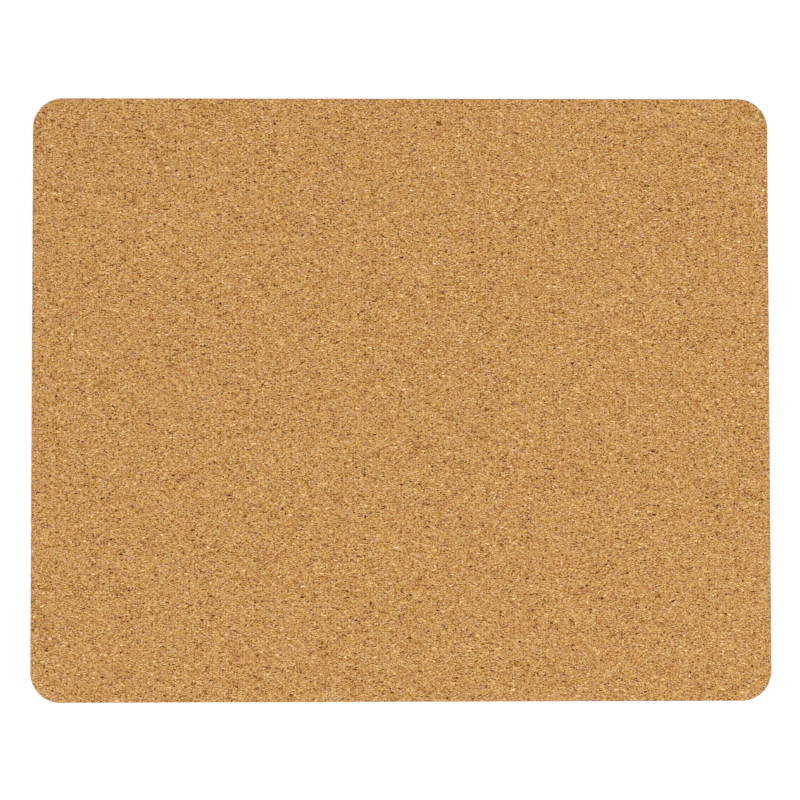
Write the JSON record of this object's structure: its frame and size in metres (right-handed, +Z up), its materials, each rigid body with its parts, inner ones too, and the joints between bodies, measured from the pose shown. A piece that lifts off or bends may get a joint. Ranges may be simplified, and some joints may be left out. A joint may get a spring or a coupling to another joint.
{
  "type": "mouse pad",
  "caption": "Flat rectangular mouse pad with rounded corners: a fine-grained cork running surface laminated to a non-slip foam-rubber base.",
  "frame": {"origin": "middle of the underside, on the desk", "axes": "+X along the long side, +Y along the short side towards the far edge, +Z up out of the cork face"},
  "size_m": [0.22, 0.18, 0.004],
  "materials": {
    "cork": "matte",
    "adhesive": "satin",
    "foam_rubber": "matte"
  },
  "bodies": {
    "root": {"cork_sheet": "cork", "bond_film": "adhesive", "rubber_base": "foam_rubber"}
  },
  "joints": []
}
